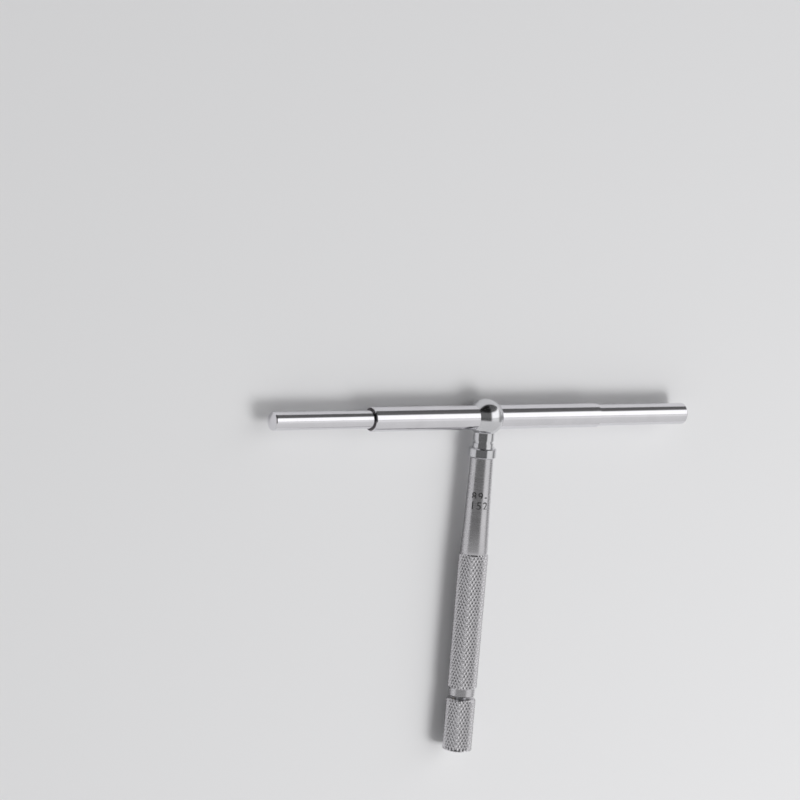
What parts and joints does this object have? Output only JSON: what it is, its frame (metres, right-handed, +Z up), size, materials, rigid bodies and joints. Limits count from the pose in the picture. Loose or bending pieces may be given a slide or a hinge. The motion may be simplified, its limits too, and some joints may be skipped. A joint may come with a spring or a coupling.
{
  "type": "telescoping gauge",
  "caption": "Telescoping bore gauge: two spring-loaded arms slide out of a T-shaped bar and are locked by a knurled knob at the end of the handle.",
  "frame": {"origin": "middle of the outline, on the surface that the gauge lies on", "axes": "+X along the bar towards the larger arm, handle towards -Y, +Z up from the surface"},
  "size_m": [0.1524, 0.11, 0.0113],
  "materials": {
    "polished_steel": "polished",
    "satin_chrome": "satin",
    "ground_steel": "ground",
    "spring_steel": "drawn wire",
    "bearing_brass": "turned"
  },
  "bodies": {
    "gauge_body": {"sleeve": "polished_steel", "small_arm_bush": "ground_steel", "head_ball": "polished_steel", "collar": "polished_steel", "handle": "satin_chrome", "thread_bush": "bearing_brass"},
    "small_arm": {"small_arm": "polished_steel"},
    "large_arm": {"large_arm": "polished_steel", "large_arm_tip": "polished_steel", "arm_spring": "spring_steel"},
    "lock_rod": {"lock_pin": "ground_steel", "lock_rod": "ground_steel", "thrust_ball": "ground_steel"},
    "lock_knob": {"lock_screw": "ground_steel", "lock_knob": "satin_chrome"}
  },
  "joints": [
    {"name": "small_arm_slide", "type": "slide", "parent": "gauge_body", "child": "small_arm", "axis": [1, 0, 0], "range_m": [0, 0.03175], "stiffness_N_per_m": 25, "springref_m": -0.03},
    {"name": "large_arm_slide", "type": "slide", "parent": "gauge_body", "child": "large_arm", "axis": [-1, 0, 0], "range_m": [0, 0.03175], "stiffness_N_per_m": 25, "springref_m": -0.03, "deforming": ["arm_spring"]},
    {"name": "lock_rod_slide", "type": "slide", "parent": "gauge_body", "child": "lock_rod", "axis": [0, 1, 0], "range_m": [-0.000116, 0.00029]},
    {"name": "lock_knob_turn", "type": "hinge", "parent": "lock_rod", "child": "lock_knob", "pos_m": [0, -0.04645, 0.00565], "axis": [0, 1, 0], "range_deg": [-60, 150]}
  ],
  "couplings": [
    {"joint": "lock_knob_turn", "follows": "lock_rod_slide", "rad_per_m": 8976}
  ]
}
